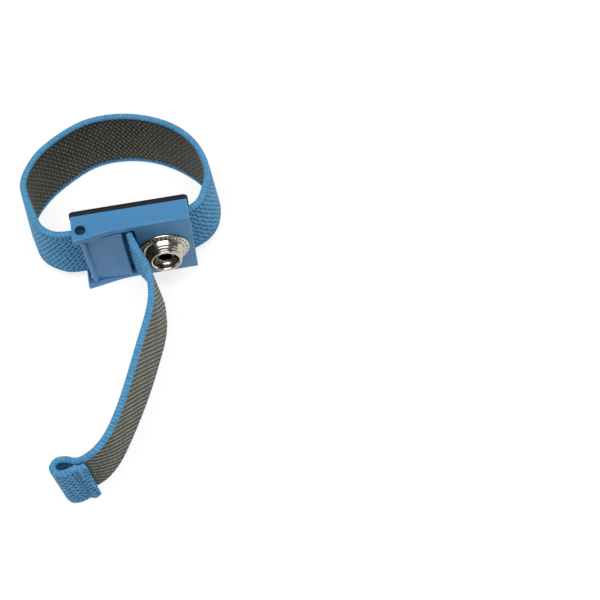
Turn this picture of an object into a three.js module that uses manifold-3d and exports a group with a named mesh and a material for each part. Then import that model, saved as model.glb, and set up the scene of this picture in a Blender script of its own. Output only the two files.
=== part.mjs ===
// An adjustable anti-static wrist strap, tightened, with its free tail out.
//
// Millimetres, +Z up. The strap lies on its side, so that its webbing stands on edge. The buckle's
// length runs along X and its front, with the clamp lever and the snap, faces -Y. Everything is laid
// out from the buckle: x = 0 at its middle, y = 0 at the housing's back face, z = 0 on the table.
// The last lines move the whole strap so that the origin is the centre of its footprint.

import * as THREE from "three";
import { mergeVertices } from "three/addons/utils/BufferGeometryUtils.js";
import Module from "manifold-3d";

const wasm = await Module();
wasm.setup();

// ---------- driving dimensions ----------

const BUCKLE_LENGTH = 38;
const BUCKLE_WIDTH = 32; // stands along Z
const LEFT_DEPTH = 10; // the side walls are deeper at the lever's end
const FACE_DEPTH = 7.8; // the flat front that carries the snap
const WALL = 2.5;

const FLOOR_DEPTH = 2.4; // the floor that the lever clamps the webbing against
const FACE_THICKNESS = 2.1;
const SLOT = { left: -3.5, right: 0.5 }; // the tail comes out between these
const PARTITION = 1.6; // between the slot and the pocket behind the snap

const PLATE = { overhang: 0.4, thickness: 1.7, corner: 1.6 };

const PIVOT = { x: -16.2, depth: 5.6 };
const TRUNNION_RADIUS = 1.4;
const TRUNNION_SINK = 1.6; // how far a trunnion ends below the wall's outer face
const CLEARANCE = 0.3;

const BAND_WIDTH = 25;
const BAND_THICKNESS = 2.2;
const RIM = 1; // blue edge left uncovered beside the lining
const LINING_THICKNESS = 0.5;
const BAND_RISE = (BUCKLE_WIDTH - BAND_WIDTH) / 2; // the webbing's height above the table in the buckle

const SNAP_X = 8.8;
const EYELET_RADIUS = 2.6;
const STUD_LEAN = THREE.MathUtils.degToRad(6); // the stud's mouth faces a little upwards
const ROUND = 40; // sides of a round part

// Plan of the webbing's middle line, as [x, y] through which a smooth curve runs. It starts at the
// end riveted under the snap, goes round the wrist, under the lever, out of the slot and to the tab.
const LOOP_ROUTE = [
  [3.6, -4.05], [8.8, -4.05], [13.4, -3.9], [19, -1.8], [23.8, 1.4], [27.4, 8.4], [28.2, 16.5],
  [25.2, 25.6], [19.2, 33.2], [10.4, 39], [0, 42], [-10.8, 41.6], [-21, 36.8], [-29.8, 29.6],
  [-34.8, 20.4], [-33.6, 10.8], [-30.6, 1.8], [-25, -2.9], [-18.4, -3.75], [-12, -3.75],
  [-5, -3.8], [-2.2, -4.7], [-1.4, -6.4],
];
const FEED_ROUTE = [[-1.4, -6.4], [-0.9, -8.3], [0.9, -12.1], [2.7, -16.2], [3.9, -20.6], [4, -24]];
const TAIL_ROUTE = [
  [4, -24], [3.6, -29], [2.3, -34.2], [-1.8, -44.5], [-6.6, -55.6], [-11.8, -66.2],
  [-16.4, -73.6], [-20.6, -77.6], [-24.2, -79.4],
];
const TAB_ROUTE = [
  [-24.2, -79.4], [-26.2, -79.6], [-28.8, -78.9], [-31.4, -79], [-32.8, -80.9], [-31.6, -82.7],
  [-29.6, -83], [-27.8, -82.6], [-26.2, -82.1], [-24.6, -82.5], [-23.4, -81.7],
];
const FLEX_GAP = 1.2; // between the two stretches of tail, which turn against each other
const SEAM_GAP = 0.3;

// ---------- colours ----------

const finish = (color, roughness, metalness = 0) =>
  new THREE.MeshStandardMaterial({ color, roughness, metalness });
const bluePlastic = () => finish(0x4a86c0, 0.45);
const blackPlastic = () => finish(0x24262b, 0.5);
const nickel = () => finish(0xc9c5ba, 0.18, 1);
const blueWeave = () => finish(0x3b82c4, 0.9);
const greyWeave = () => finish(0x5b5a4c, 0.85);
const blueThread = () => finish(0x5aa0dc, 0.8);

// ---------- solids ----------

const strap = new THREE.Group();

function addMesh(name, geometry, material) {
  const mesh = new THREE.Mesh(geometry, material);
  mesh.name = name;
  strap.add(mesh);
  return mesh;
}

function toSolid(geometry) {
  const bare = geometry.index ? geometry.toNonIndexed() : geometry.clone();
  bare.deleteAttribute("normal");
  bare.deleteAttribute("uv");
  const merged = mergeVertices(bare, 1e-4);
  return new wasm.Manifold(
    new wasm.Mesh({
      numProp: 3,
      vertProperties: merged.attributes.position.array,
      triVerts: new Uint32Array(merged.index.array),
    }),
  );
}

function toGeometry(solid) {
  const mesh = solid.getMesh();
  const geometry = new THREE.BufferGeometry();
  geometry.setAttribute("position", new THREE.BufferAttribute(new Float32Array(mesh.vertProperties), 3));
  geometry.setIndex(new THREE.BufferAttribute(mesh.triVerts, 1));
  geometry.computeVertexNormals();
  return geometry;
}

function box(x, y, z) {
  const geometry = new THREE.BoxGeometry(x[1] - x[0], y[1] - y[0], z[1] - z[0]);
  geometry.translate((x[0] + x[1]) / 2, (y[0] + y[1]) / 2, (z[0] + z[1]) / 2);
  return toSolid(geometry);
}

// A plan outline raised between two heights.
function prism(shape, bottom, top) {
  const geometry = new THREE.ExtrudeGeometry(shape, {
    depth: top - bottom,
    bevelEnabled: false,
    curveSegments: 8,
  });
  geometry.translate(0, 0, bottom);
  return geometry;
}

function uprightPin(x, y, radius, bottom, top) {
  const geometry = new THREE.CylinderGeometry(radius, radius, top - bottom, 24);
  geometry.rotateX(Math.PI / 2);
  geometry.translate(x, y, (bottom + top) / 2);
  return toSolid(geometry);
}

// A turned part on the snap's axis. Its profile is [radius, distance out from the housing's back].
function turned(profile) {
  const closed = [...profile, profile[0]];
  const geometry = new THREE.LatheGeometry(
    closed.map(([radius, out]) => new THREE.Vector2(radius, out)),
    ROUND,
  );
  geometry.rotateX(Math.PI);
  geometry.translate(SNAP_X, 0, BUCKLE_WIDTH / 2);
  return geometry;
}

// ---------- webbing ----------

const smooth = (t) => t * t * (3 - 2 * t);
const ramp = (value, from, to) => smooth(THREE.MathUtils.clamp((value - from) / (to - from), 0, 1));

// Places along a route about every `step` mm, each with its right-hand normal, where the blue face
// is. They stop short of the route's ends by the two gaps.
function stations(route, step, startGap = 0, endGap = 0) {
  const curve = new THREE.CatmullRomCurve3(
    route.map(([x, y]) => new THREE.Vector3(x, y, 0)),
    false,
    "centripetal",
  );
  curve.arcLengthDivisions = 800;
  const length = curve.getLength();
  const span = length - startGap - endGap;
  const count = Math.round(span / step);
  return Array.from({ length: count + 1 }, (_, i) => {
    const along = startGap + (i / count) * span;
    const place = curve.getPointAt(along / length);
    const way = curve.getTangentAt(along / length);
    return { along, left: length - along, x: place.x, y: place.y, normal: [way.y, -way.x] };
  });
}

// A strip with the closed section `section`, as [out along the blue face's normal, up from its edge].
// `rise(place)` is the lower edge's height. `lean(place)` is the [x, y] from the middle of the lower
// edge to the middle of the top one.
function strip(places, section, rise, lean) {
  const positions = [];
  const faces = [];
  const sides = section.length;
  for (const place of places) {
    const [leanX, leanY] = lean(place);
    for (const [out, up] of section) {
      const share = up / BAND_WIDTH - 0.5;
      positions.push(
        place.x + place.normal[0] * out + leanX * share,
        place.y + place.normal[1] * out + leanY * share,
        rise(place) + up,
      );
    }
  }
  for (let i = 0; i < places.length - 1; i++) {
    for (let j = 0; j < sides; j++) {
      const a = i * sides + j;
      const b = i * sides + ((j + 1) % sides);
      faces.push(a, b + sides, b, a, a + sides, b + sides);
    }
  }
  const outline = section.map(([out, up]) => new THREE.Vector2(out, up));
  const last = (places.length - 1) * sides;
  for (const [a, b, c] of THREE.ShapeUtils.triangulateShape(outline, [])) {
    faces.push(a, b, c);
    faces.push(last + a, last + c, last + b);
  }
  const geometry = new THREE.BufferGeometry();
  geometry.setAttribute("position", new THREE.Float32BufferAttribute(positions, 3));
  geometry.setIndex(faces);
  geometry.computeVertexNormals();
  return geometry;
}

const HALF = BAND_THICKNESS / 2;
const RECESS = HALF - LINING_THICKNESS - SEAM_GAP - 0.1; // the lips stand 0.1 proud of the lining
const bandSection = [
  [HALF, 0],
  [HALF, BAND_WIDTH],
  [-HALF, BAND_WIDTH],
  [-HALF, BAND_WIDTH - RIM],
  [-RECESS, BAND_WIDTH - RIM],
  [-RECESS, RIM],
  [-HALF, RIM],
  [-HALF, 0],
];
const liningInner = HALF - 0.1;
const liningSection = [
  [LINING_THICKNESS - liningInner, RIM + SEAM_GAP],
  [LINING_THICKNESS - liningInner, BAND_WIDTH - RIM - SEAM_GAP],
  [-liningInner, BAND_WIDTH - RIM - SEAM_GAP],
  [-liningInner, RIM + SEAM_GAP],
];
const tabInner = 0.95 * HALF;
const tabSection = [
  [HALF, 0],
  [HALF, BAND_WIDTH],
  [-tabInner, BAND_WIDTH],
  [-tabInner, 0],
];

// ---------- buckle ----------

// The hole that the snap's eyelet passes through, out to the deepest wall.
function eyeletHole() {
  const radius = EYELET_RADIUS + CLEARANCE;
  return toSolid(turned([[0, 0], [radius, 0], [radius, LEFT_DEPTH], [0, LEFT_DEPTH]]));
}

// The side walls taper from the lever's end and come level with the flat front at the slot.
function housing() {
  const half = BUCKLE_LENGTH / 2;
  const plan = new THREE.Shape();
  plan.moveTo(-half, 0);
  plan.lineTo(-half, -LEFT_DEPTH);
  plan.lineTo(-9.5, -8.4);
  plan.quadraticCurveTo(-5.9, -FACE_DEPTH, SLOT.right + 1, -FACE_DEPTH);
  plan.lineTo(half, -FACE_DEPTH);
  plan.lineTo(half, 0);
  const inside = [WALL, BUCKLE_WIDTH - WALL];
  const past = 1;
  const leverBay = box([-half - past, SLOT.right], [-LEFT_DEPTH - past, -FLOOR_DEPTH], inside);
  const pocket = box(
    [SLOT.right + PARTITION, half + past],
    [-(FACE_DEPTH - FACE_THICKNESS), past],
    inside,
  );
  const pinHole = uprightPin(
    PIVOT.x, -PIVOT.depth, TRUNNION_RADIUS + CLEARANCE, -past, BUCKLE_WIDTH + past,
  );
  const body = toSolid(prism(plan, 0, BUCKLE_WIDTH))
    .subtract(leverBay)
    .subtract(pocket)
    .subtract(pinHole)
    .subtract(eyeletHole());
  addMesh("housing", toGeometry(body), bluePlastic());
}

function backPlate() {
  const half = BUCKLE_LENGTH / 2 + PLATE.overhang;
  const r = PLATE.corner;
  const outline = new THREE.Shape();
  outline.moveTo(-half + r, 0);
  outline.lineTo(half - r, 0);
  outline.absarc(half - r, r, r, -Math.PI / 2, 0);
  outline.lineTo(half, BUCKLE_WIDTH - r);
  outline.absarc(half - r, BUCKLE_WIDTH - r, r, 0, Math.PI / 2);
  outline.lineTo(-half + r, BUCKLE_WIDTH);
  outline.absarc(-half + r, BUCKLE_WIDTH - r, r, Math.PI / 2, Math.PI);
  outline.lineTo(-half, r);
  outline.absarc(-half + r, r, r, Math.PI, Math.PI * 1.5);
  const geometry = prism(outline, 0, PLATE.thickness);
  geometry.rotateX(Math.PI / 2);
  geometry.translate(0, PLATE.thickness, 0);
  addMesh("back_plate", geometry, blackPlastic());
}

// The lever's plan: a raised bar over the pivot, a flat thumb panel, and teeth under it that press
// the webbing onto the housing's floor.
function clampLever() {
  const front = 8.3;
  const under = 6.1;
  const teeth = { first: -13.6, pitch: 1.3, count: 3, root: 5.95, tip: 5.35 };
  const plan = new THREE.Shape();
  plan.moveTo(-16.5, -5.1);
  plan.quadraticCurveTo(-17, -5.6, -17, -6.4);
  plan.lineTo(-17.1, -8.2);
  plan.quadraticCurveTo(-17.1, -9.1, -16.1, -9.2);
  plan.quadraticCurveTo(-15.2, -9.1, -15.1, -8.3);
  plan.lineTo(-14.5, -front + 0.3);
  plan.lineTo(SLOT.left - 0.6, -front);
  plan.quadraticCurveTo(SLOT.left, -front, SLOT.left, -front + 0.5);
  plan.lineTo(SLOT.left, -under - 0.4);
  plan.lineTo(SLOT.left - 0.4, -under);
  for (let i = teeth.count - 1; i >= 0; i--) {
    const x = teeth.first + i * teeth.pitch;
    plan.lineTo(x + teeth.pitch, -teeth.root);
    plan.lineTo(x + teeth.pitch * 0.6, -teeth.tip);
  }
  plan.lineTo(teeth.first, -teeth.root);
  plan.lineTo(-14.6, -5.1);
  const reach = { bottom: WALL + CLEARANCE, top: BUCKLE_WIDTH - WALL - CLEARANCE };
  const pin = (radius, bottom, top) => uprightPin(PIVOT.x, -PIVOT.depth, radius, bottom, top);
  const core = 0.5; // joins each trunnion to the lever's body
  const lever = toSolid(prism(plan, reach.bottom, reach.top))
    .add(pin(core, TRUNNION_SINK + 0.3, BUCKLE_WIDTH - TRUNNION_SINK - 0.3))
    .add(pin(TRUNNION_RADIUS, TRUNNION_SINK, reach.bottom))
    .add(pin(TRUNNION_RADIUS, reach.top, BUCKLE_WIDTH - TRUNNION_SINK));
  addMesh("clamp_lever", toGeometry(lever), bluePlastic());
}

// ---------- snap: a flange, a drawn stud with a rolled rim, an eyelet that rivets them, a washer ----------

function snap() {
  const face = FACE_DEPTH + 0.05;
  addMesh(
    "snap_flange",
    turned([
      [2.9, face], [8.5, face], [8.55, face + 0.3], [8.2, face + 0.65], [6.9, face + 0.9],
      [6.6, face + 0.7], [2.9, face + 0.7],
    ]),
    nickel(),
  );
  const foot = face + 0.95;
  const stud = turned([
    [2.9, foot + 0.15], [6.5, foot + 0.8], [6.4, foot + 1], [6.1, foot + 1.8], [5.9, foot + 2.1],
    [5.8, foot + 3], [5.5, foot + 3.25], [5, foot + 3.3], [4.75, foot + 3.5], [5, foot + 3.75],
    [5.4, foot + 4.1], [5.4, foot + 4.6], [5.2, foot + 4.8], [4.6, foot + 4.8], [4.35, foot + 4.5],
    [4.15, foot + 3.3], [3.9, foot + 2.6], [3.5, foot + 2], [2.9, foot + 1.8],
  ]);
  stud.translate(0, foot, -BUCKLE_WIDTH / 2);
  stud.rotateX(-STUD_LEAN);
  stud.translate(0, -foot, BUCKLE_WIDTH / 2);
  addMesh("snap_stud", stud, nickel());
  addMesh(
    "snap_eyelet",
    turned([
      [2.1, 2.1], [EYELET_RADIUS, 2.1], [EYELET_RADIUS, foot + 2.4], [3.1, foot + 2.5],
      [3.2, foot + 2.75], [2.7, foot + 2.95], [2.1, foot + 2.6],
    ]),
    nickel(),
  );
  addMesh(
    "eyelet_washer",
    turned([[2.9, 2.2], [5, 2.2], [5, 2.7], [2.9, 2.7]]),
    nickel(),
  );
}

// ---------- webbing pieces ----------

const leanAlongNormal = (amount) => (place) => {
  const out = amount(place);
  return [place.normal[0] * out, place.normal[1] * out];
};

// The band leaves the buckle above the table and settles onto it on the far side of the loop. Its
// top edge leans in on the loop's two sides and out across the back.
function loopRise(place) {
  return BAND_RISE * (1 - ramp(place.along, 14, 52) * ramp(place.left, 20, 60));
}
const loopLean = leanAlongNormal(
  (place) => (3.8 * ramp(place.y, 14, 36) - 2.2) * ramp(place.y, -3, 6),
);

function wristLoop() {
  const places = stations(LOOP_ROUTE, 2.4);
  const pierced = (section) => toSolid(strip(places, section, loopRise, loopLean)).subtract(eyeletHole());
  addMesh("loop_band", toGeometry(pierced(bandSection)), blueWeave());
  addMesh("loop_lining", toGeometry(pierced(liningSection)), greyWeave());
}

// The tail's top edge leans to the blue side. Its lower edge comes down onto the table.
const TAIL_LEAN = 1.7;
const feedRise = (place) => BAND_RISE * (1 - ramp(place.along, 1, 18));
const feedLean = leanAlongNormal((place) => TAIL_LEAN * ramp(place.along, 0, 8));
const tailLean = leanAlongNormal((place) => TAIL_LEAN * (1 - ramp(place.along, 22, 52)));
const TAB_LEAN = [-0.3, 1];
const tabLean = (place) => TAB_LEAN.map((amount) => amount * ramp(place.along, 0, 6));

// One upright row of thread in the tab's crease, leaning with it.
function tabStitching() {
  const row = { x: -26.2, y: -83.6, radius: 0.25, length: BAND_WIDTH - 4 };
  const [slopeX, slopeY] = TAB_LEAN.map((amount) => amount / BAND_WIDTH);
  const geometry = new THREE.CylinderGeometry(row.radius, row.radius, row.length, 12);
  geometry.rotateX(Math.PI / 2);
  geometry.applyMatrix4(new THREE.Matrix4().makeShear(0, 0, 0, 0, slopeX, slopeY));
  geometry.translate(row.x, row.y, BAND_WIDTH / 2);
  return geometry;
}

function tail() {
  const feed = stations(FEED_ROUTE, 1.2, SEAM_GAP, FLEX_GAP / 2);
  addMesh("feed_band", strip(feed, bandSection, feedRise, feedLean), blueWeave());
  addMesh("feed_lining", strip(feed, liningSection, feedRise, feedLean), greyWeave());
  const onTable = () => 0;
  const free = stations(TAIL_ROUTE, 2.4, FLEX_GAP / 2, SEAM_GAP);
  addMesh("tail_band", strip(free, bandSection, onTable, tailLean), blueWeave());
  addMesh("tail_lining", strip(free, liningSection, onTable, tailLean), greyWeave());
  const folded = stations(TAB_ROUTE, 0.9, SEAM_GAP);
  addMesh("tail_tab", strip(folded, tabSection, onTable, tabLean), blueWeave());
  addMesh("tab_stitching", tabStitching(), blueThread());
}

housing();
backPlate();
clampLever();
snap();
wristLoop();
tail();

const footprint = new THREE.Box3().setFromObject(strap);
const middle = footprint.getCenter(new THREE.Vector3());
strap.position.set(-middle.x, -middle.y, -footprint.min.z);

export default strap;
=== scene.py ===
"""The looks of an anti-static wrist strap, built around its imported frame.

Points are laid out in millimetres from the buckle, as in the part's own source: x = 0 at the middle
of the housing, y = 0 at its back face, z = 0 on the table. placed() turns them into the frame's metres.
The webbing is followed from the end riveted under the snap, round the wrist, under the lever, out of
the slot and to its tab. Its blue face is on the right-hand side of that way, its lining on the left.
"""

import math

import bmesh
import bpy
import numpy as np
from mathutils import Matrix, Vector


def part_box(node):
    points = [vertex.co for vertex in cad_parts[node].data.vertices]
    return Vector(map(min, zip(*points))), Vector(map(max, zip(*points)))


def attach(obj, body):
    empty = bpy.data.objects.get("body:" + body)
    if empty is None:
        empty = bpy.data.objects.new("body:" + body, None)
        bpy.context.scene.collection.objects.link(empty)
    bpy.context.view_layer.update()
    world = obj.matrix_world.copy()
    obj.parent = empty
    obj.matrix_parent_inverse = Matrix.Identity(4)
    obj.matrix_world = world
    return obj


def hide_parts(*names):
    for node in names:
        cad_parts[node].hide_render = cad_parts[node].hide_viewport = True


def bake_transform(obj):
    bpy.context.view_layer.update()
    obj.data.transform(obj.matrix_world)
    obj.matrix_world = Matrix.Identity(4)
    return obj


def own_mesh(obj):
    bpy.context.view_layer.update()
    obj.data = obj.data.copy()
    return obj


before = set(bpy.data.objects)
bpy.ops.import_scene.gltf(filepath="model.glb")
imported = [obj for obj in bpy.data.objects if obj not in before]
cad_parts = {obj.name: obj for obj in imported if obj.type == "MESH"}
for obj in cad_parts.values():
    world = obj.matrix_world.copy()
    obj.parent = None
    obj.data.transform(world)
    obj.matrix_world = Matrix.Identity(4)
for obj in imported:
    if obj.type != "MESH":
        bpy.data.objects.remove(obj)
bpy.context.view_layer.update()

# ---------- driving dimensions, in mm ----------

MM = 0.001
HOUSING_LOW, HOUSING_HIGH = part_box("housing")
ORIGIN = np.array([(HOUSING_LOW.x + HOUSING_HIGH.x) / 2, HOUSING_HIGH.y, HOUSING_LOW.z])
BUCKLE_WIDTH = (HOUSING_HIGH.z - HOUSING_LOW.z) / MM

BAND_WIDTH = 25
HALF = 1.1  # half the webbing's thickness
RIM = 1  # blue edge left uncovered beside the lining, and the radius of the webbing's edges
LOOP_LOW_RIM = 1.9  # the same along the lower edge, where the lining sits off-centre
TAIL_LOW_RIM = 0.5
LINING_FACE = 1
LINING_BACK = 0.5
RECESS_BACK = 0.2  # the bottom of the recess that the lining lies in
BAND_RISE = (BUCKLE_WIDTH - BAND_WIDTH) / 2
TAIL_LEAN = 1.7  # how far the tail's top edge leans to the blue side
TAB_LEAN = (-0.3, 1)
CREASE = (-26.2, -83.4)  # where the tab is stitched

PITCH_ALONG = 1.75  # the weave repeats after these, with a second set of floats halfway between
PITCH_ACROSS = 2.63
RIB_PITCH = 1.25  # between the strokes across the webbing's edges
DEPTH = {"blue": 0.42, "lining": 0.32, "rim": 0.12, "none": 0}  # of each weave's pits
STEP_ALONG = PITCH_ALONG / 6
STEP_ACROSS = PITCH_ACROSS / 8

PIVOT = (-16.2, -5.6)
CAMERA_PLACE = (19.83, -189.66, 321.94)
SNAP_X = 8.8
SNAP_FACE = 7.85  # where the flange rests, measured out from the housing's back
STUD_FOOT = SNAP_FACE + 0.95
STUD_LEAN = math.radians(6)  # the stud's mouth faces a little upwards

LOOP_ROUTE = [
    (3.6, -4.05), (8.8, -4.05), (13.4, -3.9), (19, -1.8), (23.8, 1.4), (27.4, 8.4), (28.2, 16.5),
    (25.2, 25.6), (19.2, 33.2), (10.4, 39), (0, 42), (-10.8, 41.6), (-21, 36.8), (-29.8, 29.6),
    (-34.8, 20.4), (-33.6, 10.8), (-30.6, 1.8), (-25, -2.9), (-18.4, -3.75), (-12, -3.75),
    (-5, -3.8), (-2.2, -4.7), (-1.4, -6.4),
]
FEED_ROUTE = [(-1.4, -6.4), (-0.9, -8.3), (0.9, -12.1), (2.7, -16.2), (3.9, -20.6), (4, -24)]
TAIL_ROUTE = [
    (4, -24), (3.6, -29), (2.3, -34.2), (-1.8, -44.5), (-6.6, -55.6), (-11.8, -66.2),
    (-16.4, -73.6), (-20.6, -77.6), (-24.2, -79.4),
]
TAB_ROUTE = [
    (-24.2, -79.4), (-26.2, -79.6), (-28.8, -78.9), (-31.4, -79), (-32.8, -80.9), (-31.6, -82.7),
    (-29.6, -83), (-27.8, -82.6), (-26.2, -82.1), (-24.6, -82.5), (-23.4, -81.7),
]


def placed(points):
    """Points of the buckle's own layout, in mm, as points of the frame, in metres."""
    return np.asarray(points, float) * MM + ORIGIN


# ---------- camera, light and floor ----------


def camera():
    azimuth, elevation = math.radians(-10.97), math.radians(62.86)
    back = Vector((
        math.sin(azimuth) * math.cos(elevation),
        -math.cos(azimuth) * math.cos(elevation),
        math.sin(elevation),
    ))
    data = bpy.data.cameras.new("camera")
    data.sensor_width = 36
    data.lens = 63.32
    data.clip_start = 0.01
    data.clip_end = 10
    made = bpy.data.objects.new("camera", data)
    made.location = placed(CAMERA_PLACE)
    made.rotation_mode = "QUATERNION"
    made.rotation_quaternion = (-back).to_track_quat("-Z", "Y")
    bpy.context.scene.collection.objects.link(made)
    bpy.context.scene.camera = made


def softbox(name, place, wide, high, power, target=(0, 0, 0.01)):
    """An oblong area light, in metres from the frame's origin, that faces the target."""
    data = bpy.data.lights.new(name, "AREA")
    data.shape = "RECTANGLE"
    data.size = wide
    data.size_y = high
    data.energy = power
    made = bpy.data.objects.new(name, data)
    made.location = place
    made.rotation_mode = "QUATERNION"
    made.rotation_quaternion = (Vector(target) - Vector(place)).to_track_quat("-Z", "Y")
    bpy.context.scene.collection.objects.link(made)


def studio():
    world = bpy.data.worlds.new("studio")
    world.use_nodes = True
    world.node_tree.nodes["Background"].inputs["Color"].default_value = (1, 1, 1, 1)
    world.node_tree.nodes["Background"].inputs["Strength"].default_value = 0.12
    bpy.context.scene.world = world
    bpy.context.scene.view_settings.view_transform = "Standard"
    softbox("top_light", (0, -0.14, 1.1), 1.1, 0.42, 11)
    softbox("right_light", (0.85, 0.6, 0.35), 0.4, 0.4, 2.8)
    softbox("left_light", (-0.9, 0.1, 0.35), 0.6, 0.6, 1.4)


# ---------- materials ----------


class Finish:
    """A Principled material being put together. Each method adds a node and gives its output."""

    def __init__(self, name, sockets):
        self.material = bpy.data.materials.new(name)
        self.material.use_nodes = True
        self.tree = self.material.node_tree
        self.shader = self.tree.nodes["Principled BSDF"]
        self.fill(self.shader, sockets)
        self.coordinates = self.add("TexCoord", {})

    def fill(self, node, sockets):
        for socket, value in sockets.items():
            if isinstance(value, bpy.types.NodeSocket):
                self.tree.links.new(value, node.inputs[socket])
            else:
                node.inputs[socket].default_value = value

    def add(self, kind, sockets, **settings):
        node = self.tree.nodes.new("ShaderNode" + kind)
        for name, value in settings.items():
            setattr(node, name, value)
        self.fill(node, sockets)
        return node

    def stretched(self, scale, source="Object"):
        """Coordinates scaled by (x, y, z): a larger number gives a finer pattern that way."""
        place = self.coordinates.outputs[source]
        return self.add("Mapping", {"Vector": place, "Scale": scale}).outputs["Vector"]

    def noise(self, coordinates, detail=2, scale=1, distortion=0):
        sockets = {"Vector": coordinates, "Scale": scale, "Detail": detail, "Distortion": distortion}
        return self.add("TexNoise", sockets).outputs["Fac"]

    def attribute(self, name):
        return self.add("Attribute", {}, attribute_name=name).outputs["Fac"]

    def spread(self, value, low, high, to_low=0.0, to_high=1.0):
        """value, taken from low..high to to_low..to_high and held inside them."""
        sockets = {
            "Value": value, "From Min": low, "From Max": high, "To Min": to_low, "To Max": to_high,
        }
        return self.add("MapRange", sockets).outputs["Result"]

    def math(self, operation, a, b):
        return self.add("Math", {0: a, 1: b}, operation=operation).outputs["Value"]

    def ramp(self, value, stops):
        """A colour read along stops of (place, (r, g, b))."""
        node = self.add("ValToRGB", {"Fac": value})
        elements = node.color_ramp.elements
        for element, (place, colour) in zip(elements, (stops[0], stops[-1])):
            element.position = place
            element.color = (*colour, 1)
        for place, colour in stops[1:-1]:
            elements.new(place).color = (*colour, 1)
        return node.outputs["Color"]

    def mix(self, factor, a, b, blend="MIX"):
        node = self.add("Mix", {}, data_type="RGBA", blend_type=blend)
        self.fill(node, {0: factor, 6: a, 7: b})
        return node.outputs[2]

    def bump(self, height, distance, strength=1.0, below=None):
        """A normal from a height, with distance in metres. below is the normal it is added to."""
        sockets = {"Height": height, "Distance": distance, "Strength": strength}
        if below is not None:
            sockets["Normal"] = below
        return self.add("Bump", sockets).outputs["Normal"]

    def done(self, sockets):
        self.fill(self.shader, sockets)
        return self.material


def woven(name, pit, float_colour, crown, roughness, sheen):
    """Cloth whose relief is in its mesh: painted shade between the floats, with fibres along each yarn."""
    finish = Finish(name, {"Sheen Weight": sheen, "Sheen Roughness": 0.5, "Specular IOR Level": 0.2})
    relief = finish.attribute("relief")
    fibres = finish.noise(finish.stretched((3, 9, 1), "UV"), detail=4)
    fade = finish.noise(finish.stretched((120, 120, 120)), detail=3)
    mottle = finish.noise(finish.stretched((900, 900, 900)), detail=2)
    shade = finish.math("ADD", relief, finish.spread(fibres, 0.3, 0.7, -0.14, 0.14))
    # painted shade: the ramp by weave height goes near black in the pits between floats, through the yarn's
    # colour, to paler crowns
    colour = finish.ramp(shade, [(0.02, pit), (0.5, float_colour), (1, crown)])
    worn = finish.mix(finish.spread(fade, 0.35, 0.7, 0, 0.1), colour, crown + (1,))
    tone = finish.ramp(mottle, [(0.3, (0.68, 0.68, 0.7)), (0.7, (1, 1, 1))])
    normal = finish.bump(fibres, 0.00012, 0.55)
    return finish.done({
        "Base Color": finish.mix(1.0, worn, tone, "MULTIPLY"),
        "Roughness": finish.spread(fibres, 0.3, 0.7, roughness - 0.1, roughness + 0.1),
        "Normal": normal,
    })


def blue_cloth():
    # pit is the painted shade colour in the weave's hollows
    pit, float_colour, crown = (0.001, 0.01, 0.045), (0.03, 0.185, 0.42), (0.12, 0.41, 0.68)
    return woven("blue_webbing", pit, float_colour, crown, 0.75, 0.06)


def grey_cloth(name, pit, float_colour, crown):
    return woven(name, pit, float_colour, crown, 0.55, 0.12)


def moulded(name, dark, light, roughness, grain, specular):
    """Moulded plastic: fine spark-eroded grain, slow flow marks, edges rubbed paler, and painted shade in
    the lever's pin holes.
    """
    finish = Finish(name, {"Specular IOR Level": specular})
    flow = finish.noise(finish.stretched((60, 60, 140)), detail=3, distortion=0.6)
    texture = finish.noise(finish.stretched((4200, 4200, 4200)), detail=2)
    smudge = finish.noise(finish.stretched((320, 320, 320)), detail=4)
    colour = finish.ramp(flow, [(0.3, dark), (0.7, light)])
    edge = finish.add("NewGeometry", {}).outputs["Pointiness"]
    rubbed = finish.math("MULTIPLY", finish.spread(edge, 0.52, 0.6, 0, 0.5), smudge)
    pale = tuple(min(1, c * 1.5 + 0.04) for c in light)
    scuffs = finish.noise(finish.stretched((500, 2600, 500)), detail=5, distortion=0.3)
    normal = finish.bump(texture, grain * MM, 0.5)
    worn = finish.mix(rubbed, colour, pale + (1,))
    # painted shade: the trunnions and their pin holes are darkened to near-black navy, standing in for the
    # shade deep in the holes
    pin_hole_shade = finish.math("MULTIPLY", finish.attribute("pin_hole_shade"), 0.93)
    return finish.done({
        "Base Color": finish.mix(pin_hole_shade, worn, (0.004, 0.012, 0.035, 1)),
        "Roughness": finish.spread(scuffs, 0.35, 0.7, roughness - 0.06, roughness + 0.12),
        "Normal": finish.bump(scuffs, 0.00002, 0.25, normal),
    })


def nickel_plate():
    """Bright nickel on drawn brass: faint turned lines, small scratches, a slight haze, and painted shade
    deep in its bore."""
    finish = Finish("nickel", {"Metallic": 1.0})
    haze = finish.noise(finish.stretched((350, 350, 350)), detail=4)
    scratches = finish.noise(finish.stretched((900, 6000, 900)), detail=5, distortion=0.4)
    warm = finish.ramp(haze, [(0.3, (0.5, 0.465, 0.39)), (0.7, (0.62, 0.59, 0.52))])
    return finish.done({
        # painted shade: the colour goes near black deep in the bore, as the turned parts' point attribute
        # says
        "Base Color": finish.mix(finish.attribute("bore_shade"), warm, (0.012, 0.011, 0.009, 1)),
        "Roughness": finish.spread(scratches, 0.35, 0.75, 0.16, 0.3),
        "Normal": finish.bump(scratches, 0.00001, 0.2),
    })


def sewing_thread():
    finish = Finish("blue_thread", {"Sheen Weight": 0.3, "Specular IOR Level": 0.3})
    ply = finish.noise(finish.stretched((5, 26, 1), "UV"), detail=3)
    colour = finish.ramp(ply, [(0.3, (0.02, 0.09, 0.24)), (0.7, (0.08, 0.3, 0.62))])
    return finish.done({
        "Base Color": colour,
        "Roughness": finish.spread(ply, 0.3, 0.7, 0.55, 0.8),
        "Normal": finish.bump(ply, 0.00006, 0.6),
    })


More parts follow.
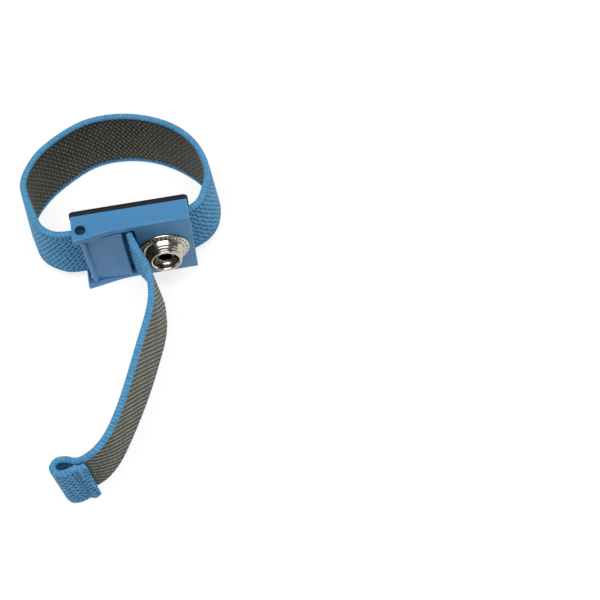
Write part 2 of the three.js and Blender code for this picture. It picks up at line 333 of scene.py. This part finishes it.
def studio_floor():
    glow = {"Emission Color": (1, 1, 1, 1), "Emission Strength": 0.8}
    finish = Finish("studio_floor", {"Specular IOR Level": 0.2, **glow})
    paper = finish.noise(finish.stretched((40, 40, 40)), detail=3)
    return finish.done({
        "Base Color": finish.ramp(paper, [(0.2, (0.24, 0.24, 0.24)), (0.8, (0.26, 0.26, 0.26))]),
        "Roughness": finish.spread(paper, 0.3, 0.7, 0.75, 0.9),
    })


# ---------- meshes ----------


def new_object(name, mesh, material):
    mesh.materials.clear()
    mesh.materials.append(material)
    made = bpy.data.objects.new(name, mesh)
    bpy.context.scene.collection.objects.link(made)
    return made


def enclosed_volume(points, faces):
    """Six times the signed volume of a closed mesh of quads."""
    a, b, c, d = (points[faces[:, i]] for i in range(4))
    return np.sum(np.cross(a, b) * c) + np.sum(np.cross(a, c) * d)


def lofted(name, rings, material, uv=None, closed_way=False, values=None):
    """A closed surface through rings of points, (rings, points in a ring, xyz) in the buckle's mm.

    uv has the rings' shape with one more point in a ring, and values are point attributes."""
    count, size = rings.shape[:2]
    ring = np.arange(count if closed_way else count - 1)[:, None]
    point = np.arange(size)[None, :]
    following = (ring + 1) % count
    beside = (point + 1) % size
    here, beyond = ring * size, following * size
    corners = (here + point, here + beside, beyond + beside, beyond + point)
    faces = np.stack([c.ravel() for c in corners], 1)
    places = placed(rings.reshape(-1, 3))
    inside_out = enclosed_volume(places, faces) < 0
    if inside_out:
        faces = faces[:, ::-1]
    caps = []
    if not closed_way:
        ends = [list(range(size)), list(range((count - 1) * size, count * size))[::-1]]
        caps = ends if inside_out else [end[::-1] for end in ends]
    mesh = bpy.data.meshes.new(name)
    mesh.from_pydata(places.tolist(), [], faces.tolist() + caps)
    mesh.polygons.foreach_set("use_smooth", [True] * len(faces) + [False] * len(caps))
    if uv is not None:
        grid = np.stack([
            uv[ring, point], uv[ring, point + 1], uv[ring + 1, point + 1], uv[ring + 1, point],
        ], 2).reshape(-1, 4, 2)
        if inside_out:
            grid = grid[:, ::-1]
        loops = np.vstack([grid.reshape(-1, 2), np.zeros((sum(map(len, caps)), 2))])
        mesh.uv_layers.new(name="weave").data.foreach_set("uv", loops.ravel())
    for key, value in (values or {}).items():
        mesh.attributes.new(key, "FLOAT", "POINT").data.foreach_set("value", value.ravel())
    return new_object(name, mesh, material)


# ---------- webbing ----------


def smoothstep(value, low, high):
    share = np.clip((value - low) / (high - low), 0, 1)
    return share * share * (3 - 2 * share)


def smooth_line(points, per_span=80):
    """A dense line on the centripetal Catmull-Rom curve through the points."""
    points = np.array(points, float)
    padded = np.vstack([2 * points[0] - points[1], points, 2 * points[-1] - points[-2]])
    t = np.linspace(0, 1, per_span, endpoint=False)[:, None]
    line = []
    for before, start, end, after in zip(padded, padded[1:], padded[2:], padded[3:]):
        gaps = [math.sqrt(np.linalg.norm(b - a)) for a, b in ((before, start), (start, end), (end, after))]
        leave = (start - before) / gaps[0] - (end - before) / (gaps[0] + gaps[1]) + (end - start) / gaps[1]
        reach = (end - start) / gaps[1] - (after - start) / (gaps[1] + gaps[2]) + (after - end) / gaps[2]
        leave, reach = leave * gaps[1], reach * gaps[1]
        line.append(
            (2 * start - 2 * end + leave + reach) * t**3
            + (3 * end - 3 * start - 2 * leave - reach) * t**2
            + leave * t
            + start
        )
    return np.vstack([*line, points[-1:]])


class Way:
    """Places every step mm along a route, with the right-hand normal that the blue face points to."""

    def __init__(self, route, step, done=0.0):
        line = smooth_line(route)
        steps = np.hypot(*np.diff(line, axis=0).T)
        along = np.concatenate([[0], np.cumsum(steps)])
        self.length = along[-1]
        self.along = np.linspace(0, self.length, round(self.length / step) + 1)
        self.left = self.length - self.along
        self.woven = self.along + done  # how far along the whole webbing, for the weave
        self.x = np.interp(self.along, along, line[:, 0])
        self.y = np.interp(self.along, along, line[:, 1])
        turn = np.arctan2(np.gradient(self.y), np.gradient(self.x))
        self.normal = np.stack([np.sin(turn), -np.cos(turn)], 1)


class Section:
    """The closed outline across a strip: out along the blue face's normal, up from its lower edge,
    the way each point is pushed by the weave, and which weave it has."""

    def __init__(self):
        self.rows = []

    def side(self, out, start, end, facing, weave):
        for up in np.linspace(start, end, max(2, round(abs(end - start) / STEP_ACROSS) + 1)):
            self.rows.append((out, up, facing, 0, weave))
        return self

    def point(self, out, up):
        self.rows.append((out, up, 0, 0, "none"))
        return self

    def rim(self, front, back, centre, way, end=math.pi, points=9):
        """A rounded edge from the front to the back, bulging up (way 1) or from back to front, down.
        It reaches round to the angle end, which is pi at the back."""
        angles = np.linspace(0, end, points + 2)[1:-1]
        middle, half = (front + back) / 2, (front - back) / 2
        for angle in angles if way > 0 else angles[::-1]:
            across, over = math.cos(angle), math.sin(angle) * way
            self.rows.append((middle + half * across, centre + RIM * over, across, over, "rim"))
        return self

    def arrays(self):
        numbers = np.array([row[:4] for row in self.rows], float)
        return numbers, np.array([row[4] for row in self.rows])


def band_section(low_rim):
    section = Section().side(HALF, RIM, BAND_WIDTH - RIM, 1, "blue")
    section.rim(HALF, -HALF, BAND_WIDTH - RIM, 1)
    section.point(-HALF, BAND_WIDTH - RIM).point(-RECESS_BACK, BAND_WIDTH - RIM)
    section.point(-RECESS_BACK, low_rim)
    if low_rim > RIM:
        section.side(-HALF, low_rim, RIM, -1, "blue")
    lip = math.pi - math.asin(max(0, 1 - low_rim / RIM))
    return section.rim(HALF, -HALF, RIM, -1, lip).arrays()


def lining_section(low_rim):
    low, high = low_rim + 0.15, BAND_WIDTH - RIM - 0.15
    section = Section().side(-LINING_FACE, high, low, -1, "lining")
    return section.point(-LINING_BACK, low).point(-LINING_BACK, high).arrays()


def tab_section():
    inner = -0.95 * HALF
    section = Section().side(HALF, RIM, BAND_WIDTH - RIM, 1, "blue").rim(HALF, inner, BAND_WIDTH - RIM, 1)
    section.side(inner, BAND_WIDTH - RIM, RIM, -1, "blue")
    return section.rim(HALF, inner, RIM, -1).arrays()


def weave_height(woven, up, turn, weave, slant):
    """0 at the bottom of the weave to 1 on top of its floats, for (rings, points) arrays."""
    wander = 0.35 * np.sin(2.1 * up + 0.37 * woven) + 0.35 * np.sin(1.3 * woven - 0.6 * up)
    a = 2 * math.pi * woven / PITCH_ALONG + wander
    b = 2 * math.pi * up / PITCH_ACROSS + 0.8 * wander
    twill = slant * (1 + 0.3 * np.sin(0.55 * woven + 0.3 * up))
    lattice = (0.5 + twill) * np.cos(a - b) + (0.5 - twill) * np.cos(a + b)
    holed = 1 - smoothstep(-lattice, 0, 0.7)
    edge = np.minimum(up, BAND_WIDTH - up)
    selvedge = 1 - smoothstep(edge, 2.2, 3)
    stroke = 0.5 - 0.5 * np.cos(2 * math.pi * woven / RIB_PITCH + 1.2 * turn)
    ribbed = 1 - stroke * (0.3 + 0.35 * smoothstep(edge, 1, 1.6))
    blue = holed * (1 - selvedge) + ribbed * selvedge
    dots = smoothstep(lattice, -0.3, 0.8)
    return np.select([weave == "blue", weave == "lining", weave == "rim"], [blue, dots, ribbed], 1.0)


def webbing(name, way, section, material, rise, lean, slant=0.0, trim=(0, 0)):
    """A strip of webbing along a way. rise and lean take the way: the lower edge's height, and the
    [x, y] from the middle of the lower edge to the middle of the top one."""
    outline, weave = section
    keep = (way.along >= trim[0]) & (way.left >= trim[1])
    out, up, push_out, push_up = outline.T
    turn = np.arctan2(push_up, push_out)
    height = weave_height(way.woven[keep, None], up[None], turn[None], weave[None], slant)
    sunk = (1 - height) * np.array([DEPTH[w] for w in weave])
    across = out - sunk * push_out
    lifted = up - sunk * push_up
    lean_x, lean_y = (part[keep, None] for part in lean(way))
    share = lifted / BAND_WIDTH - 0.5
    normal = way.normal[keep]
    rings = np.stack([
        way.x[keep, None] + normal[:, :1] * across + lean_x * share,
        way.y[keep, None] + normal[:, 1:] * across + lean_y * share,
        rise(way)[keep, None] + lifted,
    ], 2)
    girth = np.concatenate([[0], np.cumsum(np.hypot(*np.diff(np.vstack([outline, outline[:1]])[:, :2].T)))])
    uv = np.stack(np.broadcast_arrays(way.woven[keep, None], girth[None]), 2)
    return lofted(name, rings, material, uv, values={"relief": height})


def along_normal(amount):
    return lambda way: (way.normal[:, 0] * amount(way), way.normal[:, 1] * amount(way))


def loop_rise(way):
    return BAND_RISE * (1 - smoothstep(way.along, 14, 52) * smoothstep(way.left, 20, 60))


def loop_lean(way):
    return (3.8 * smoothstep(way.y, 14, 36) - 2.2) * smoothstep(way.y, -3, 6)


def feed_rise(way):
    return BAND_RISE * (1 - smoothstep(way.along, 1, 18))


def on_table(way):
    return np.zeros(len(way.along))


def tab_lean(way):
    return tuple(amount * smoothstep(way.along, 0, 6) for amount in TAB_LEAN)


def wrist_loop(blue, grey):
    way = Way(LOOP_ROUTE, STEP_ALONG)
    lean = along_normal(loop_lean)
    band = webbing("loop_webbing", way, band_section(LOOP_LOW_RIM), blue, loop_rise, lean)
    lining = webbing("loop_conductive_lining", way, lining_section(LOOP_LOW_RIM), grey, loop_rise, lean)
    for piece, node in ((band, "loop_band"), (lining, "loop_lining")):
        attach(piece, "buckle")
        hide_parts(node)
        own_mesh(piece)
    return way.length


def feed(blue, grey, woven_before):
    way = Way(FEED_ROUTE, STEP_ALONG, woven_before)
    lean = along_normal(lambda w: TAIL_LEAN * smoothstep(w.along, 0, 8))
    band = webbing("feed_webbing", way, band_section(TAIL_LOW_RIM), blue, feed_rise, lean, 0.1)
    lining = webbing(
        "feed_conductive_lining", way, lining_section(TAIL_LOW_RIM), grey, feed_rise, lean, 0.2,
    )
    for piece, node in ((band, "feed_band"), (lining, "feed_lining")):
        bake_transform(piece)
        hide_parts(node)
    return woven_before + way.length


def tail(blue, grey, woven_before):
    way = Way(TAIL_ROUTE, STEP_ALONG, woven_before)
    lean = along_normal(lambda w: TAIL_LEAN * (1 - smoothstep(w.along, 22, 52)))
    band = webbing("tail_webbing", way, band_section(TAIL_LOW_RIM), blue, on_table, lean, 0.1)
    lining = webbing(
        "tail_conductive_lining", way, lining_section(TAIL_LOW_RIM), grey, on_table, lean, 0.2, (0, 0.3),
    )
    for piece, node in ((band, "tail_band"), (lining, "tail_lining")):
        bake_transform(piece)
        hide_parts(node)
    return woven_before + way.length


def tab(blue, woven_before):
    way = Way(TAB_ROUTE, STEP_ALONG, woven_before)
    piece = webbing("folded_tab", way, tab_section(), blue, on_table, tab_lean)
    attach(piece, "tail")
    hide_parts("tail_tab")


def tab_stitches(thread):
    """A running stitch down the tab's crease: the thread dips into the webbing between stitches."""
    pitch, radius, sides = 2.6, 0.24, 10
    z = np.linspace(2.5, BAND_WIDTH - 2.5, 160)
    depth = 0.28 * np.cos(2 * math.pi * z / pitch)
    share = (z / BAND_WIDTH - 0.5)[:, None]
    angle = np.linspace(0, 2 * math.pi, sides, endpoint=False)
    rings = np.stack([
        CREASE[0] + TAB_LEAN[0] * share + radius * np.cos(angle),
        CREASE[1] + TAB_LEAN[1] * share + depth[:, None] + radius * np.sin(angle),
        z[:, None] + 0 * angle,
    ], 2)
    uv = np.stack(np.broadcast_arrays(z[:, None], np.linspace(0, 1.5, sides + 1)[None]), 2)
    piece = lofted("crease_stitches", rings, thread, uv)
    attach(piece, "tail")
    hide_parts("tab_stitching")


# ---------- buckle ----------


def rounded_copy(name, node, material, width, segments=3, corner_angle=25, shade_pin_holes=None):
    """A CAD node's shape with its flat faces joined and its edges rounded. The last argument, if given,
    takes its corners, in the buckle's mm, and says which of them are darkened with painted shade."""
    shape = bmesh.new()
    shape.from_mesh(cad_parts[node].data)
    bmesh.ops.remove_doubles(shape, verts=shape.verts, dist=0.002 * MM)
    bmesh.ops.dissolve_limit(shape, angle_limit=math.radians(0.8), verts=shape.verts, edges=shape.edges)
    bmesh.ops.recalc_face_normals(shape, faces=shape.faces)
    mesh = bpy.data.meshes.new(name)
    shape.to_mesh(mesh)
    shape.free()
    mesh.polygons.foreach_set("use_smooth", [True] * len(mesh.polygons))
    if shade_pin_holes:
        corners = np.array([vertex.co for vertex in mesh.vertices])
        # marks the corners that get painted shade in the pin holes
        pin_hole_shade = shade_pin_holes((corners - ORIGIN) / MM).astype(float)
        mesh.attributes.new("pin_hole_shade", "FLOAT", "POINT").data.foreach_set("value", pin_hole_shade)
    piece = new_object(name, mesh, material)
    bevel = piece.modifiers.new("rounded_edges", "BEVEL")
    bevel.width = width * MM
    bevel.segments = segments
    bevel.limit_method = "ANGLE"
    bevel.angle_limit = math.radians(corner_angle)
    bevel.use_clamp_overlap = False
    bevel.miter_outer = "MITER_ARC"
    weighted = piece.modifiers.new("flat_faces_stay_flat", "WEIGHTED_NORMAL")
    weighted.keep_sharp = True
    return piece


def in_pin_hole(corners):
    """Whether corners are in the holes for the lever's trunnions, below the walls' outer faces, where shade
    is painted.
    """
    from_axis = np.hypot(corners[:, 0] - PIVOT[0], corners[:, 1] - PIVOT[1])
    sunk = BUCKLE_WIDTH / 2 - abs(corners[:, 2] - BUCKLE_WIDTH / 2)
    radius, shallowest, deepest = 2, 0.5, 2.6
    return (from_axis < radius) & (sunk > shallowest) & (sunk < deepest)


def buckle(blue, black):
    housing = rounded_copy("buckle_housing", "housing", blue, 0.55, 4, shade_pin_holes=in_pin_hole)
    plate = rounded_copy("wrist_plate", "back_plate", black, 0.3)
    lever = rounded_copy("lever", "clamp_lever", blue, 0.2, shade_pin_holes=in_pin_hole)
    for piece, node, body, slot in (
        (housing, "housing", "buckle", "blue_plastic"),
        (plate, "back_plate", "buckle", "black_plastic"),
        (lever, "clamp_lever", "lever", "blue_plastic"),
    ):
        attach(piece, body)
        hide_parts(node)


# ---------- snap ----------


def turned(name, profile, material, sides=96, shaped=None, lean=0):
    """A part turned on the snap's axis, from a closed profile of (radius, distance out). shaped takes
    (angles, radius, out) and gives the points' own (radius, out) where a part isn't plain. The part is
    tipped upwards about its foot by the angle lean. Painted shade darkens it most near the axis and
    far below the stud's rim."""
    angle = np.linspace(0, 2 * math.pi, sides, endpoint=False)[:, None]
    profile = np.array(profile, float)
    radius = np.broadcast_to(profile[:, 0], (sides, len(profile)))
    out = np.broadcast_to(profile[:, 1], (sides, len(profile)))
    if shaped:
        radius, out = shaped(angle, radius, out)
    beyond = out - STUD_FOOT
    height = radius * np.sin(angle)
    rings = np.stack([
        SNAP_X + radius * np.cos(angle),
        height * math.sin(lean) - beyond * math.cos(lean) - STUD_FOOT,
        height * math.cos(lean) + beyond * math.sin(lean) + BUCKLE_WIDTH / 2,
    ], 2)
    # painted shade: strongest near the axis and far below the stud's rim, standing in for the shade inside
    # the bore
    deep = 1 - smoothstep(out, SNAP_FACE + 2.6, SNAP_FACE + 5.2)
    bore_shade = 0.95 * deep * (1 - smoothstep(radius, 2.4, 4.4))
    return lofted(name, rings, material, closed_way=True, values={"bore_shade": bore_shade})


def rounded_profile(corners, radius=0.15, points=4):
    """A closed profile with each corner turned into a short curve."""
    corners = np.array(corners, float)
    profile = []
    for before, corner, after in zip(np.roll(corners, 1, 0), corners, np.roll(corners, -1, 0)):
        reach = [min(radius, 0.45 * np.linalg.norm(side - corner)) for side in (before, after)]
        start = corner + (before - corner) / np.linalg.norm(before - corner) * reach[0]
        end = corner + (after - corner) / np.linalg.norm(after - corner) * reach[1]
        for t in np.linspace(0, 1, points):
            profile.append((1 - t) ** 2 * start + 2 * t * (1 - t) * corner + t**2 * end)
    return profile


def snap(nickel):
    pits = 34

    def punched(angle, radius, out):
        """Small pits all round the flange's sloping rim."""
        ring = np.exp(-(((radius - 7.65) / 0.42) ** 2)) * (out > SNAP_FACE + 0.4)
        dent = np.clip(np.cos(pits * angle), 0, 1) ** 2
        return radius, out - 0.48 * ring * dent

    rim = [(r, SNAP_FACE + 0.93 - 0.028 * (r - 6.9) ** 2) for r in np.linspace(8.3, 6.7, 14)]
    flange = turned(
        "snap_flange_plate",
        [(2.9, SNAP_FACE), (8.4, SNAP_FACE), (8.55, SNAP_FACE + 0.15), (8.55, SNAP_FACE + 0.5), *rim,
         (6.55, SNAP_FACE + 0.75), (2.9, SNAP_FACE + 0.7)],
        nickel, pits * 8, punched,
    )
    foot = STUD_FOOT
    stud = turned("snap_stud_drawn", rounded_profile([
        (2.9, foot + 0.15), (6.5, foot + 0.8), (6.4, foot + 1), (6.1, foot + 1.8), (5.9, foot + 2.1),
        (5.8, foot + 3), (5.5, foot + 3.25), (5, foot + 3.3), (4.75, foot + 3.5), (5, foot + 3.75),
        (5.4, foot + 4.1), (5.4, foot + 4.6), (5.2, foot + 4.8), (4.6, foot + 4.8), (4.35, foot + 4.5),
        (4.15, foot + 3.3), (3.9, foot + 2.6), (3.5, foot + 2), (2.9, foot + 1.8),
    ], 0.4), nickel, lean=STUD_LEAN)
    eyelet = turned("snap_eyelet_rivet", rounded_profile([
        (2.1, 2.1), (2.6, 2.1), (2.6, foot + 2.4), (3.1, foot + 2.5),
        (3.2, foot + 2.75), (2.7, foot + 2.95), (2.1, foot + 2.6),
    ], 0.25), nickel)
    washer = turned("rivet_washer", rounded_profile([(2.9, 2.2), (5, 2.2), (5, 2.7), (2.9, 2.7)]), nickel)
    for piece, node in (
        (flange, "snap_flange"), (stud, "snap_stud"), (eyelet, "snap_eyelet"), (washer, "eyelet_washer"),
    ):
        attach(piece, "buckle")
        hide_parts(node)


# ---------- the strap ----------


def floor():
    size = 4
    mesh = bpy.data.meshes.new("floor")
    corners = [(-size, -size, 0), (size, -size, 0), (size, size, 0), (-size, size, 0)]
    mesh.from_pydata(corners, [], [(0, 1, 2, 3)])
    new_object("floor", mesh, studio_floor())


camera()
studio()
floor()

blue_webbing = blue_cloth()
# One lining cloth in two copies: the loop's is darker as painted shade on its back, the tail's and feed's
# paler as painted light on the side facing the right-hand lamp.
lining_shaded_copy = grey_cloth(
    "conductive_lining", (0.003, 0.003, 0.002), (0.045, 0.047, 0.032), (0.22, 0.225, 0.165),
)
lining_lit_copy = grey_cloth("tail_lining", (0.004, 0.004, 0.003), (0.085, 0.09, 0.055), (0.365, 0.375, 0.255))
blue_plastic = moulded("blue_plastic", (0.055, 0.222, 0.44), (0.066, 0.243, 0.475), 0.42, 0.012, 0.4)
black_plastic = moulded("black_plastic", (0.008, 0.008, 0.01), (0.012, 0.012, 0.014), 0.5, 0.02, 0.25)

buckle(blue_plastic, black_plastic)
snap(nickel_plate())
woven_so_far = wrist_loop(blue_webbing, lining_shaded_copy)
woven_so_far = feed(blue_webbing, lining_lit_copy, woven_so_far)
woven_so_far = tail(blue_webbing, lining_lit_copy, woven_so_far)
tab(blue_webbing, woven_so_far)
tab_stitches(sewing_thread())
